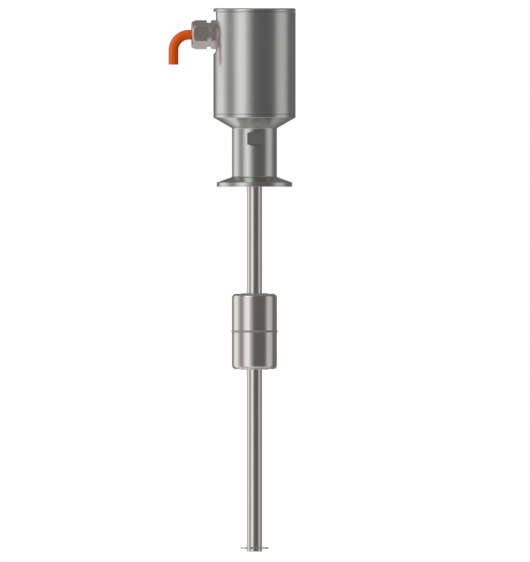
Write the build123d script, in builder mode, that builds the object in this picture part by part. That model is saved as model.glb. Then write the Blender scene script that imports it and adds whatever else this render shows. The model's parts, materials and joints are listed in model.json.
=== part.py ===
from build123d import *
import os
from math import cos, pi, radians, tan

os.makedirs("parts", exist_ok=True)

# Linear position sensor for a hygienic tank: a steel head on a clamp ferrule, a guide tube below
# it with a magnet float, and a cable gland in the head's side. Sizes are in millimetres.
# The origin is the centre of the ferrule's sealing face, +Z is up, and the gland points to -X.

# Clamp ferrule, of the standard size for 1 1/2 inch and DN 40 pipe
ferrule_d = 50.5
ferrule_rim = 2.85
ferrule_taper = 20.0
gasket_groove_d = 43.5
gasket_groove_radius = 2.3
gasket_groove_depth = 1.5
rim_break = 0.3

# Neck, cone and rim of the turned process connection
neck_d = 30.0
neck_top = 39.1
neck_fillet = 1.0
cone_angle = 30.0
base_rim = 2.2
base_edge = 0.4
wrench_width = 28.0
wrench_height = 9.6
wrench_drop = 6.95
neck_bore_d = 22.0
tube_seat_depth = 10.0
floor_rise = 1.0
spigot_height = 8.0
spigot_wall = 3.4
seam_chamfer = 0.3

# Head shell, with a flat milled for the gland
housing_d = 55.0
housing_height = 68.5
housing_wall = 4.5
flat_depth = 2.1
flat_length = 26.5
flat_runout = 2.1
gland_drop = 15.3

# Screw lid
lid_gap = 0.05
lid_rim = 2.35
lid_plate = 4.4
lid_edge = 1.2
lid_skirt = 8.0
lid_skirt_wall = 3.7
lid_thread_gap = 0.25
spanner_hole_d = 3.2
spanner_hole_depth = 2.5
spanner_circle_d = 34.0

# Rubber rings
ring_section = 1.3
ring_slack = 0.05
ring_groove_width = 1.9
ring_groove_rise = 3.0

# Guide tube, its end plug and the retaining clip
tube_d = 10.0
tube_wall = 1.0
tube_length = 244.1
plug_height = 6.0
plug_spigot = 5.0
plug_chamfer = 0.3
clip_d = 18.5
clip_thickness = 1.1
clip_rise = 2.4
clip_groove_depth = 0.5
clip_relief = 1.9
clip_prong = 3.2
clip_mouth = 5.0
clip_corner = 0.8

# Float
float_d = 30.0
float_height = 50.3
float_centre = -96.8
float_wall = 0.35
float_corner = 2.5
float_clearance = 0.8
float_boss_d = 17.3
float_boss_rise = 0.4
float_bead_height = 1.3
float_bead_rise = 0.5
bore_tube_wall = 0.4
carrier_height = 6.0
carrier_bead = 1.0
magnet_d = 3.0
magnet_length = 5.0
magnet_count = 4

# Sensing element inside the guide tube
sleeve_d = 3.0
sleeve_wall = 0.6
waveguide_d = 0.6
return_wire_d = 0.8
return_offset = 2.3
centring_count = 5
centring_thickness = 3.0
damper_length = 18.0
crimp_height = 3.5
crimp_width = 1.6
crimp_gap = 0.6

# Sensing head inside the neck
head_base = 8.0
head_height = 34.0
head_cut = 0.6
bobbin_length = 12.0
bobbin_d = 9.2
bobbin_flange = 1.0
bobbin_core_d = 3.0
winding_d = 8.2
bobbin_rise = 14.0
bias_magnet_size = 3.0
bias_magnet_length = 10.0
bias_magnet_offset = 7.5
clamp_sleeve_d = 3.0
clamp_sleeve_length = 4.0
return_detour = 5.9
return_bend = 2.5
detour_gap = 0.8
sleeve_proud = 1.0
lead_d = 0.6

# Electronics
board_thickness = 1.6
board_edge_gap = 1.5
pillar_across = 5.0
pillar_thread_d = 2.9
pillar_stud = 4.5
lower_pillar = 12.5
upper_pillar = 20.4
pillar_count = 3
pillar_start = 60.0
screw_head_d = 5.6
screw_head_height = 1.8
screw_slot = 0.8
shield_length = 15.0
shield_width = 12.0
shield_height = 4.0
shield_wall = 0.4
chip_side = 9.0
chip_height = 1.4
capacitor_d = 6.3
capacitor_height = 7.7
capacitor_edge = 0.5
capacitor_count = 2
component_gap = 1.5
component_centre = -4.0
connector_length = 15.2
connector_width = 5.0
terminal_count = 4
terminal_pitch = 3.81
terminal_depth = 8.0
terminal_height = 10.0
terminal_front = 4.0
terminal_hole = 2.6
terminal_hole_depth = 6.0
terminal_hole_rise = 3.2
terminal_screw_d = 2.4
terminal_screw_drop = 1.0
terminal_chamfer = 1.6
core_lead = 5.0

# Cable gland: M12 into the head, M16 under the clamp nut
gland_thread_d = 12.0
gland_spigot = 5.5
hex_across = 17.0
hex_turn = 4.0
hex_chamfer = 0.7
hex_edge = 0.6
gland_hex_length = 3.7
gland_neck_gap = 2.85
gland_neck_d = 16.0
gland_neck_length = 7.5
nut_hex_length = 8.65
nut_collar = 1.5
nut_collar_d = 17.9
nut_edge = 1.2
gland_bore_d = 7.4
gland_cup_d = 11.8
gland_cup_floor = 5.0
gland_cup_cone = 1.0
gland_ring_recess = 1.1
gland_ring_land = 0.3
claw_wall = 1.0
claw_head_d = 14.0
claw_tip_d = 11.2
claw_slots = 8
claw_slot_width = 0.9
nut_mouth_d = 8.0
nut_lip = 1.5

# Cable
cable_d = 6.6
core_d = 1.3
core_spread = 1.1
end_ferrule_d = 1.0
end_ferrule_length = 6.0

# Clearances
fit_gap = 0.05
seat_gap = 0.1

# Values worked out from those above
ferrule_r = ferrule_d / 2
neck_r = neck_d / 2
housing_r = housing_d / 2
housing_bore_r = housing_r - housing_wall
taper_top = ferrule_rim + (ferrule_r - neck_r) * tan(radians(ferrule_taper))
cone_base = neck_top + (housing_r - neck_r) * tan(radians(cone_angle))
seam_z = cone_base + base_rim
floor_z = seam_z + floor_rise
spigot_r = housing_bore_r - seat_gap
spigot_bore_r = spigot_r - spigot_wall
spigot_top = seam_z + spigot_height
housing_top = seam_z + housing_height
neck_bore_r = neck_bore_d / 2
tube_r = tube_d / 2
tube_bore_r = tube_r - tube_wall
tube_seat_r = tube_r + fit_gap
flat_distance = housing_r - flat_depth
gland_z = housing_top - gland_drop
flat_end = housing_top - flat_length

gland_plane = Plane(origin=(-flat_distance, 0, gland_z), x_dir=(0, -1, 0), z_dir=(-1, 0, 0))
gland_section = Plane(origin=(-flat_distance, 0, gland_z), x_dir=(-1, 0, 0), z_dir=(0, 1, 0))
gland_axis = Axis((-flat_distance, 0, gland_z), (-1, 0, 0))


def rubber_ring(inner_r, height):
    """A rubber ring round the main axis, of the common section, lying on a groove of radius inner_r."""
    with BuildPart() as ring:
        with BuildSketch(Plane.XZ):
            with Locations((inner_r + ring_slack + ring_section / 2, height)):
                Circle(ring_section / 2)
        revolve(axis=Axis.Z)
    return ring


# Process connection, turned in one piece: ferrule, neck, cone, rim and the spigot in the shell
ring_groove_r = spigot_r - ring_section
base_ring_z = seam_z + ring_groove_rise
with BuildPart() as process_connection:
    with BuildSketch(Plane.XZ):
        with BuildLine():
            Polyline(
                (tube_seat_r, 0),
                (ferrule_r, 0),
                (ferrule_r, ferrule_rim),
                (neck_r, taper_top),
                (neck_r, neck_top),
                (housing_r, cone_base),
                (housing_r, seam_z),
                (spigot_r, seam_z),
                (spigot_r, spigot_top),
                (spigot_bore_r, spigot_top),
                (spigot_bore_r, floor_z),
                (neck_bore_r, floor_z),
                (neck_bore_r, tube_seat_depth),
                (tube_seat_r, tube_seat_depth),
                close=True,
            )
        make_face()
    revolve(axis=Axis.Z)
    outer_edges = process_connection.edges().filter_by(GeomType.CIRCLE)
    neck_ends = outer_edges.filter_by(lambda e: abs(e.radius - neck_r) < 0.01)
    fillet(neck_ends, neck_fillet)
    outer_edges = process_connection.edges().filter_by(GeomType.CIRCLE)
    rim_edges = outer_edges.filter_by(lambda e: abs(e.radius - ferrule_r) < 0.01)
    fillet(rim_edges, rim_break)
    outer_edges = process_connection.edges().filter_by(GeomType.CIRCLE)
    base_edges = outer_edges.filter_by(lambda e: abs(e.radius - housing_r) < 0.01).sort_by(Axis.Z)
    fillet(base_edges[0], base_edge)
    chamfer(base_edges[-1], seam_chamfer)
    # Groove for the rubber ring that seals the shell
    with BuildSketch(Plane.XZ):
        with Locations((spigot_r, base_ring_z)):
            Rectangle(2 * ring_section, ring_groove_width)
    revolve(axis=Axis.Z, mode=Mode.SUBTRACT)
    # Groove for the bead of the clamp gasket
    with BuildSketch(Plane.XZ):
        with Locations((gasket_groove_d / 2, gasket_groove_depth - gasket_groove_radius)):
            Circle(gasket_groove_radius)
    revolve(axis=Axis.Z, mode=Mode.SUBTRACT)
    # Two wrench flats, with slanted ledges where the cutter runs out
    wrench_z = neck_top - wrench_drop
    wrench_depth = neck_r - wrench_width / 2
    with BuildSketch(Plane.YZ):
        with BuildLine():
            Polyline(
                (-wrench_width / 2, wrench_z - wrench_height / 2 + wrench_depth),
                (-wrench_width / 2, wrench_z + wrench_height / 2 - wrench_depth),
                (-neck_r - wrench_depth, wrench_z + wrench_height / 2 + wrench_depth),
                (-neck_r - wrench_depth, wrench_z - wrench_height / 2 - wrench_depth),
                close=True,
            )
        make_face()
        mirror(about=Plane.YZ)
    extrude(amount=neck_r, both=True, mode=Mode.SUBTRACT)
    # Threaded holes for the pillars, in the floor of the head
    pillar_circle = (neck_bore_r + spigot_bore_r) / 2 + seat_gap
    with BuildSketch(Plane.XY.offset(floor_z)):
        with PolarLocations(pillar_circle, pillar_count, start_angle=pillar_start):
            Circle(pillar_thread_d / 2 + fit_gap)
    extrude(amount=-pillar_stud - seat_gap, mode=Mode.SUBTRACT)
process_connection.part.label = "process_connection"

base_o_ring = rubber_ring(ring_groove_r, base_ring_z)
base_o_ring.part.label = "base_o_ring"

# Head shell: a tube with a flat for the gland, and its threaded hole
with BuildPart() as housing_shell:
    with BuildSketch(Plane.XY.offset(seam_z)):
        Circle(housing_r)
        Circle(housing_bore_r, mode=Mode.SUBTRACT)
    extrude(amount=housing_height)
    chamfer(housing_shell.edges().filter_by(GeomType.CIRCLE), seam_chamfer)
    runout_slope = flat_runout / flat_depth
    with BuildSketch(Plane.XZ):
        with BuildLine():
            Polyline(
                (-flat_distance, flat_end),
                (-housing_r - 1, flat_end - runout_slope * (housing_r + 1 - flat_distance)),
                (-housing_r - 1, housing_top + 1),
                (-flat_distance, housing_top + 1),
                close=True,
            )
        make_face()
    extrude(amount=housing_r, both=True, mode=Mode.SUBTRACT)
    with BuildSketch(gland_plane):
        Circle(gland_thread_d / 2 + fit_gap)
    extrude(amount=-flat_distance, mode=Mode.SUBTRACT)
housing_shell.part.label = "housing_shell"

# Screw lid with a skirt, a groove for its rubber ring and two blind holes for a pin spanner
lid_seat = housing_top + lid_gap
lid_top = lid_seat + lid_rim
lid_under = lid_top - lid_plate
lid_skirt_r = housing_bore_r - lid_thread_gap
lid_bottom = lid_seat - lid_skirt
lid_ring_z = lid_seat - ring_groove_rise
lid_groove_r = lid_skirt_r - ring_section - 2 * ring_slack
with BuildPart() as housing_lid:
    with BuildSketch(Plane.XZ):
        with BuildLine():
            Polyline(
                (0, lid_under),
                (lid_skirt_r - lid_skirt_wall, lid_under),
                (lid_skirt_r - lid_skirt_wall, lid_bottom),
                (lid_skirt_r, lid_bottom),
                (lid_skirt_r, lid_seat),
                (housing_r, lid_seat),
                (housing_r, lid_top),
                (0, lid_top),
                close=True,
            )
        make_face()
    revolve(axis=Axis.Z)
    lid_edges = housing_lid.edges().filter_by(GeomType.CIRCLE)
    lid_rims = lid_edges.filter_by(lambda e: abs(e.radius - housing_r) < 0.01).sort_by(Axis.Z)
    fillet(lid_rims[-1], lid_edge)
    chamfer(lid_rims[0], seam_chamfer)
    with BuildSketch(Plane.XZ):
        with Locations((lid_skirt_r, lid_ring_z)):
            Rectangle(2 * (lid_skirt_r - lid_groove_r), ring_groove_width)
    revolve(axis=Axis.Z, mode=Mode.SUBTRACT)
    with BuildSketch(Plane.XY.offset(lid_top)):
        with PolarLocations(spanner_circle_d / 2, 2):
            Circle(spanner_hole_d / 2)
    extrude(amount=-spanner_hole_depth, mode=Mode.SUBTRACT)
housing_lid.part.label = "housing_lid"

lid_o_ring = rubber_ring(lid_groove_r, lid_ring_z)
lid_o_ring.part.label = "lid_o_ring"

# Guide tube, from its seat in the ferrule down to the end plug
tube_bottom = -tube_length
plug_top = tube_bottom + plug_height
with BuildPart() as guide_tube:
    with BuildSketch(Plane.XY.offset(plug_top)):
        Circle(tube_r)
        Circle(tube_bore_r, mode=Mode.SUBTRACT)
    extrude(amount=tube_seat_depth - plug_top)
guide_tube.part.label = "guide_tube"

# End plug, welded flush into the tube, with the groove for the clip
clip_z = tube_bottom + clip_rise
plug_spigot_r = tube_bore_r - fit_gap
clip_seat_r = tube_r - clip_groove_depth
with BuildPart() as tube_end_plug:
    with BuildSketch(Plane.XY.offset(tube_bottom)):
        Circle(tube_r)
    extrude(amount=plug_height)
    chamfer(tube_end_plug.edges().sort_by(Axis.Z)[0], plug_chamfer)
    with BuildSketch(Plane.XY.offset(plug_top)):
        Circle(plug_spigot_r)
    extrude(amount=plug_spigot)
    with BuildSketch(Plane.XY.offset(clip_z - clip_thickness / 2 - fit_gap)):
        Circle(tube_r + 1)
        Circle(clip_seat_r, mode=Mode.SUBTRACT)
    extrude(amount=clip_thickness + 2 * fit_gap, mode=Mode.SUBTRACT)
tube_end_plug.part.label = "tube_end_plug"

# Retaining clip of the E shape, pushed on from the front, three prongs in the groove
clip_r = clip_d / 2
clip_relief_r = tube_r + clip_relief
clip_band_r = (clip_r + clip_relief_r) / 2
prong_angles = (90, -45, -135)
with BuildPart() as retaining_clip:
    with BuildSketch(Plane.XY.offset(clip_z - clip_thickness / 2)) as clip_outline:
        Circle(clip_r)
        Circle(clip_relief_r, mode=Mode.SUBTRACT)
        for angle in prong_angles:
            with PolarLocations(0, 1, start_angle=angle):
                Rectangle(clip_band_r, clip_prong, align=(Align.MIN, Align.CENTER))
        Circle(clip_seat_r + fit_gap, mode=Mode.SUBTRACT)
        with Locations((0, -clip_r)):
            Rectangle(clip_mouth, 2 * clip_r, mode=Mode.SUBTRACT)
    extrude(amount=clip_thickness)
    mouth_corners = retaining_clip.edges().filter_by(Axis.Z).filter_by(
        lambda e: e.center().Y < -clip_r * 0.8
    )
    fillet(mouth_corners, clip_corner)
retaining_clip.part.label = "retaining_clip"

# Float skin: two drawn halves that meet in a weld bead, each with a boss round the bore
float_r = float_d / 2
bore_tube_r = tube_r + float_clearance
bore_tube_outer_r = bore_tube_r + bore_tube_wall
half_height = float_height / 2
boss_top = half_height + float_boss_rise
bead_half = float_bead_height / 2
boss_r = float_boss_d / 2
skin_hole_r = bore_tube_outer_r + fit_gap


def float_half(way):
    """One half of the float's skin, above the weld bead where way is 1 and below it where it is -1."""

    def at(radius, height):
        return (radius, float_centre + way * height)

    with BuildPart() as half:
        with BuildSketch(Plane.XZ):
            with BuildLine():
                Line(at(float_r - float_wall, 0), at(float_r + float_bead_rise, 0))
                TangentArc(
                    at(float_r + float_bead_rise, 0), at(float_r, bead_half), tangent=(0, way)
                )
                Line(at(float_r, bead_half), at(float_r, half_height - float_corner))
                TangentArc(
                    at(float_r, half_height - float_corner),
                    at(float_r - float_corner, half_height),
                    tangent=(0, way),
                )
                Polyline(
                    at(float_r - float_corner, half_height),
                    at(boss_r + float_boss_rise, half_height),
                    at(boss_r, boss_top),
                    at(skin_hole_r, boss_top),
                    at(skin_hole_r, boss_top - float_wall),
                    at(boss_r - float_wall / 2, boss_top - float_wall),
                    at(boss_r + float_boss_rise - float_wall / 2, half_height - float_wall),
                    at(float_r - float_corner, half_height - float_wall),
                )
                TangentArc(
                    at(float_r - float_corner, half_height - float_wall),
                    at(float_r - float_wall, half_height - float_corner),
                    tangent=(1, 0),
                )
                Line(at(float_r - float_wall, half_height - float_corner), at(float_r - float_wall, 0))
            make_face()
        revolve(axis=Axis.Z)
    return half


float_upper_shell = float_half(1)
float_upper_shell.part.label = "float_upper_shell"
float_lower_shell = float_half(-1)
float_lower_shell.part.label = "float_lower_shell"

# Tube through the float, with a rolled bead that the magnet carrier sits on
carrier_bottom = float_centre - carrier_height / 2
with BuildPart() as float_bore_tube:
    with BuildSketch(Plane.XY.offset(float_centre - boss_top)):
        Circle(bore_tube_outer_r)
    extrude(amount=2 * boss_top)
    with BuildSketch(Plane.XY.offset(carrier_bottom - carrier_bead)):
        Circle(bore_tube_outer_r + carrier_bead)
    extrude(amount=carrier_bead)
    with BuildSketch(Plane.XY.offset(float_centre - boss_top)):
        Circle(bore_tube_r)
    extrude(amount=2 * boss_top, mode=Mode.SUBTRACT)
float_bore_tube.part.label = "float_bore_tube"

# Ring that holds the magnets level with the weld bead
carrier_inner_r = bore_tube_outer_r + seat_gap
carrier_outer_r = float_r - float_wall - seat_gap
magnet_circle = (carrier_inner_r + carrier_outer_r) / 2
magnet_bottom = carrier_bottom + carrier_height - magnet_length
with BuildPart() as float_magnet_carrier:
    with BuildSketch(Plane.XY.offset(carrier_bottom)):
        Circle(carrier_outer_r)
        Circle(carrier_inner_r, mode=Mode.SUBTRACT)
    extrude(amount=carrier_height)
    with BuildSketch(Plane.XY.offset(magnet_bottom)):
        with PolarLocations(magnet_circle, magnet_count):
            Circle(magnet_d / 2 + fit_gap)
    extrude(amount=magnet_length, mode=Mode.SUBTRACT)
float_magnet_carrier.part.label = "float_magnet_carrier"

with BuildPart() as float_magnets:
    with BuildSketch(Plane.XY.offset(magnet_bottom)):
        with PolarLocations(magnet_circle, magnet_count):
            Circle(magnet_d / 2)
    extrude(amount=magnet_length)
float_magnets.part.label = "float_magnets"

# Waveguide in its sleeve, from the crimp above the plug up to the signal board
signal_board_z = floor_z + lower_pillar
crimp_bottom = plug_top + plug_spigot + crimp_gap
wire_bottom = crimp_bottom + crimp_height
damper_bottom = wire_bottom + crimp_gap
damper_top = damper_bottom + damper_length
sleeve_top = tube_seat_depth + head_base + sleeve_proud
with BuildPart() as waveguide_wire:
    with BuildSketch(Plane.XY.offset(wire_bottom)):
        Circle(waveguide_d / 2)
    extrude(amount=signal_board_z - wire_bottom)
waveguide_wire.part.label = "waveguide_wire"

with BuildPart() as waveguide_sleeve:
    with BuildSketch(Plane.XY.offset(damper_top)):
        Circle(sleeve_d / 2)
        Circle(sleeve_d / 2 - sleeve_wall, mode=Mode.SUBTRACT)
    extrude(amount=sleeve_top - damper_top)
waveguide_sleeve.part.label = "waveguide_sleeve"

# Return wire beside it, which steps out round the pickup coil
detour_bottom = tube_seat_depth + head_base + detour_gap
detour_rise = return_detour - return_offset
with BuildPart() as return_wire:
    with BuildLine(Plane.XZ) as return_path:
        FilletPolyline(
            (return_offset, wire_bottom),
            (return_offset, detour_bottom),
            (return_detour, detour_bottom + detour_rise),
            (return_detour, signal_board_z),
            radius=return_bend,
        )
    with BuildSketch(Plane.XY.offset(wire_bottom)):
        with Locations((return_offset, 0)):
            Circle(return_wire_d / 2)
    sweep(path=return_path.line)
return_wire.part.label = "return_wire"

with BuildPart() as wire_crimp:
    with BuildSketch(Plane.XY.offset(crimp_bottom)):
        with Locations((return_offset / 2, 0)):
            RectangleRounded(return_offset + crimp_width, crimp_width, crimp_width / 4)
    extrude(amount=crimp_height)
wire_crimp.part.label = "wire_crimp"

# Rubber damper at the far end of the waveguide, and rings that centre the sleeve in the tube
with BuildPart() as end_damper:
    with BuildSketch(Plane.XY.offset(damper_bottom)):
        Circle(tube_bore_r - seat_gap)
        Circle(waveguide_d / 2 + seat_gap, mode=Mode.SUBTRACT)
        with Locations((return_offset, 0)):
            Circle(return_wire_d / 2 + seat_gap, mode=Mode.SUBTRACT)
    extrude(amount=damper_length)
end_damper.part.label = "end_damper"

centring_step = (0 - damper_top) / centring_count
with BuildPart() as centring_rings:
    for i in range(centring_count):
        with BuildSketch(Plane.XY.offset(damper_top + (i + 0.5) * centring_step)):
            Circle(tube_bore_r - seat_gap)
            Circle(sleeve_d / 2 + fit_gap, mode=Mode.SUBTRACT)
            with Locations((return_offset + tube_wall, 0)):
                SlotOverall(
                    2 * tube_wall + return_wire_d + 4 * fit_gap,
                    return_wire_d + 4 * fit_gap,
                    mode=Mode.SUBTRACT,
                )
        extrude(amount=centring_thickness)
centring_rings.part.label = "centring_rings"

# Moulded carrier of the sensing head: a round base, and above it a half cylinder with a trough
head_bottom = tube_seat_depth
head_base_top = head_bottom + head_base
head_top = head_bottom + head_height
head_r = neck_bore_r - seat_gap
bobbin_bottom = head_bottom + bobbin_rise
clamp_bottom = head_top - clamp_sleeve_length
with BuildPart() as sensing_head_carrier:
    with BuildSketch(Plane.XY.offset(head_bottom)):
        Circle(head_r)
    extrude(amount=head_height)
    with BuildSketch(Plane.XY.offset(head_base_top)):
        with Locations((0, head_cut)):
            Rectangle(2 * head_r + 1, head_r + head_cut + 1, align=(Align.CENTER, Align.MAX))
    extrude(amount=head_height, mode=Mode.SUBTRACT)
    with BuildSketch(Plane.XY.offset(head_base_top)):
        Circle(bobbin_d / 2 + seat_gap)
    extrude(amount=clamp_bottom - seat_gap - head_base_top, mode=Mode.SUBTRACT)
    with BuildSketch(Plane.XY.offset(clamp_bottom - seat_gap)):
        Circle(clamp_sleeve_d / 2 + fit_gap)
    extrude(amount=clamp_sleeve_length + 1, mode=Mode.SUBTRACT)
    with BuildSketch(Plane.XY.offset(head_bottom)):
        Circle(sleeve_d / 2 + fit_gap)
        with Locations((return_offset, 0)):
            Circle(return_wire_d / 2 + seat_gap)
    extrude(amount=head_base, mode=Mode.SUBTRACT)
sensing_head_carrier.part.label = "sensing_head_carrier"

# Pickup coil on its bobbin
with BuildPart() as coil_bobbin:
    with BuildSketch(Plane.XY.offset(bobbin_bottom)):
        Circle(bobbin_core_d / 2)
    extrude(amount=bobbin_length)
    with BuildSketch(Plane.XY.offset(bobbin_bottom)):
        Circle(bobbin_d / 2)
    extrude(amount=bobbin_flange)
    with BuildSketch(Plane.XY.offset(bobbin_bottom + bobbin_length - bobbin_flange)):
        Circle(bobbin_d / 2)
    extrude(amount=bobbin_flange)
    with BuildSketch(Plane.XY.offset(bobbin_bottom)):
        Circle(waveguide_d / 2 + 2 * seat_gap)
    extrude(amount=bobbin_length, mode=Mode.SUBTRACT)
coil_bobbin.part.label = "coil_bobbin"

with BuildPart() as pickup_coil:
    with BuildSketch(Plane.XY.offset(bobbin_bottom + bobbin_flange + fit_gap)):
        Circle(winding_d / 2)
        Circle(bobbin_core_d / 2 + fit_gap, mode=Mode.SUBTRACT)
    extrude(amount=bobbin_length - 2 * bobbin_flange - 2 * fit_gap)
pickup_coil.part.label = "pickup_coil"

# Two leads from the bobbin's upper flange straight up to the signal board
lead_circle = bobbin_d / 2 - lead_d
with BuildPart() as pickup_leads:
    with BuildSketch(Plane.XY.offset(bobbin_bottom + bobbin_length)):
        with PolarLocations(lead_circle, 2, start_angle=-110, angular_range=40, endpoint=True):
            Circle(lead_d / 2)
    extrude(amount=signal_board_z - bobbin_bottom - bobbin_length)
pickup_leads.part.label = "pickup_leads"

with BuildPart() as bias_magnet:
    with BuildSketch(Plane.XY.offset(bobbin_bottom + (bobbin_length - bias_magnet_length) / 2)):
        with Locations((-bias_magnet_offset, head_cut)):
            Rectangle(bias_magnet_size, bias_magnet_size, align=(Align.CENTER, Align.MAX))
    extrude(amount=bias_magnet_length)
bias_magnet.part.label = "bias_magnet"

# Brass sleeve that holds the waveguide at the top of the carrier
with BuildPart() as waveguide_clamp:
    with BuildSketch(Plane.XY.offset(clamp_bottom)):
        Circle(clamp_sleeve_d / 2)
        Circle(waveguide_d / 2 + fit_gap, mode=Mode.SUBTRACT)
    extrude(amount=clamp_sleeve_length)
waveguide_clamp.part.label = "waveguide_clamp"

# Hexagon pillars: the lower set in the floor, the upper set on the signal board
board_r = housing_bore_r - board_edge_gap
terminal_board_z = signal_board_z + board_thickness + upper_pillar
upper_stud = board_thickness + pillar_stud
stud_hole = pillar_stud + seat_gap


def hexagon_pillars(bottom, height, stud):
    """The set of hexagon pillars that stands at bottom, with threaded studs below and holes above."""
    with BuildPart() as pillars:
        with BuildSketch(Plane.XY.offset(bottom)):
            with PolarLocations(pillar_circle, pillar_count, start_angle=pillar_start):
                RegularPolygon(pillar_across / 2, 6, major_radius=False)
        extrude(amount=height)
        with BuildSketch(Plane.XY.offset(bottom)):
            with PolarLocations(pillar_circle, pillar_count, start_angle=pillar_start):
                Circle(pillar_thread_d / 2)
        extrude(amount=-stud)
        with BuildSketch(Plane.XY.offset(bottom + height)):
            with PolarLocations(pillar_circle, pillar_count, start_angle=pillar_start):
                Circle(pillar_thread_d / 2 + fit_gap)
        extrude(amount=-stud_hole, mode=Mode.SUBTRACT)
    return pillars


lower_pillars = hexagon_pillars(floor_z, lower_pillar, pillar_stud)
lower_pillars.part.label = "lower_pillars"
upper_pillars = hexagon_pillars(signal_board_z + board_thickness, upper_pillar, upper_stud)
upper_pillars.part.label = "upper_pillars"


def round_board(bottom):
    """A round circuit board with a hole over each pillar."""
    with BuildPart() as board:
        with BuildSketch(Plane.XY.offset(bottom)):
            Circle(board_r)
            with PolarLocations(pillar_circle, pillar_count, start_angle=pillar_start):
                Circle(pillar_thread_d / 2 + fit_gap, mode=Mode.SUBTRACT)
        extrude(amount=board_thickness)
    return board


signal_board = round_board(signal_board_z)
signal_board.part.label = "signal_board"
terminal_board = round_board(terminal_board_z)
terminal_board.part.label = "terminal_board"

# Slotted pan-head screws that hold the terminal board on the upper pillars
board_top = terminal_board_z + board_thickness
with BuildPart() as board_screws:
    with BuildSketch(Plane.XY.offset(board_top)):
        with PolarLocations(pillar_circle, pillar_count, start_angle=pillar_start):
            Circle(screw_head_d / 2)
    extrude(amount=screw_head_height)
    fillet(board_screws.edges().group_by(Axis.Z)[-1], screw_head_height / 3)
    with BuildSketch(Plane.XY.offset(board_top + screw_head_height)):
        with PolarLocations(pillar_circle, pillar_count, start_angle=pillar_start):
            Rectangle(screw_head_d + 1, screw_slot)
    extrude(amount=-screw_head_height / 2, mode=Mode.SUBTRACT)
    with BuildSketch(Plane.XY.offset(board_top)):
        with PolarLocations(pillar_circle, pillar_count, start_angle=pillar_start):
            Circle(pillar_thread_d / 2)
    extrude(amount=-upper_stud)
board_screws.part.label = "board_screws"

# Parts on the signal board: a shield over the input stage, the processor and two capacitors
signal_top = signal_board_z + board_thickness
with BuildPart() as shield_can:
    with BuildSketch(Plane.XY.offset(signal_top)):
        with Locations((component_centre, 0)):
            RectangleRounded(shield_length, shield_width, 2 * shield_wall)
    extrude(amount=shield_height)
    offset(amount=-shield_wall, openings=shield_can.faces().sort_by(Axis.Z)[0])
shield_can.part.label = "shield_can"

with BuildPart() as processor:
    with BuildSketch(Plane.XY.offset(signal_top)):
        with Locations((component_centre, -shield_width / 2 - component_gap)):
            Rectangle(chip_side, chip_side, align=(Align.CENTER, Align.MAX))
    extrude(amount=chip_height)
processor.part.label = "processor"

with BuildPart() as capacitors:
    with BuildSketch(Plane.XY.offset(signal_top)):
        with Locations((component_centre, shield_width / 2 + component_gap + capacitor_d / 2)):
            with GridLocations(capacitor_d + component_gap / 2, 1, capacitor_count, 1):
                Circle(capacitor_d / 2)
    extrude(amount=capacitor_height)
    fillet(capacitors.edges().group_by(Axis.Z)[-1], capacitor_edge)
capacitors.part.label = "capacitors"

# Connector that joins the two boards
with BuildPart() as board_connector:
    with BuildSketch(Plane.XY.offset(signal_top)):
        with Locations((board_r / 2 - connector_width / 2, 0)):
            Rectangle(connector_width, connector_length)
    extrude(amount=upper_pillar)
board_connector.part.label = "board_connector"

# Terminal block, its wire holes facing the gland and its screws facing the lid
terminal_length = terminal_count * terminal_pitch
terminal_hole_z = board_top + terminal_hole_rise
screw_hole_x = terminal_front + terminal_hole_depth - terminal_screw_d
with BuildPart() as terminal_block:
    with BuildSketch(Plane.XY.offset(board_top)):
        with Locations((terminal_front + terminal_depth / 2, 0)):
            Rectangle(terminal_depth, terminal_length)
    extrude(amount=terminal_height)
    front_top = terminal_block.faces().sort_by(Axis.Z)[-1].edges().sort_by(Axis.X)[0]
    chamfer(front_top, terminal_chamfer)
    with BuildSketch(Plane.YZ.offset(terminal_front)):
        with Locations((0, terminal_hole_z)):
            with GridLocations(terminal_pitch, 1, terminal_count, 1):
                Rectangle(terminal_hole, terminal_hole)
    extrude(amount=terminal_hole_depth, mode=Mode.SUBTRACT)
    with BuildSketch(Plane.XY.offset(board_top + terminal_height)):
        with Locations((screw_hole_x, 0)):
            with GridLocations(1, terminal_pitch, 1, terminal_count):
                Circle(terminal_screw_d / 2 + seat_gap)
    extrude(amount=terminal_hole_rise - terminal_height, mode=Mode.SUBTRACT)
terminal_block.part.label = "terminal_block"

screw_tip = terminal_hole_z + end_ferrule_d / 2 + fit_gap
screw_top = board_top + terminal_height - terminal_screw_drop
with BuildPart() as terminal_screws:
    with BuildSketch(Plane.XY.offset(screw_tip)):
        with Locations((screw_hole_x, 0)):
            with GridLocations(1, terminal_pitch, 1, terminal_count):
                Circle(terminal_screw_d / 2)
    extrude(amount=screw_top - screw_tip)
    with BuildSketch(Plane.XY.offset(screw_top)):
        with Locations((screw_hole_x, 0)):
            with GridLocations(1, terminal_pitch, 1, terminal_count):
                Rectangle(terminal_screw_d + 1, terminal_screw_d / 4)
    extrude(amount=-terminal_screw_d / 3, mode=Mode.SUBTRACT)
terminal_screws.part.label = "terminal_screws"

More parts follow.
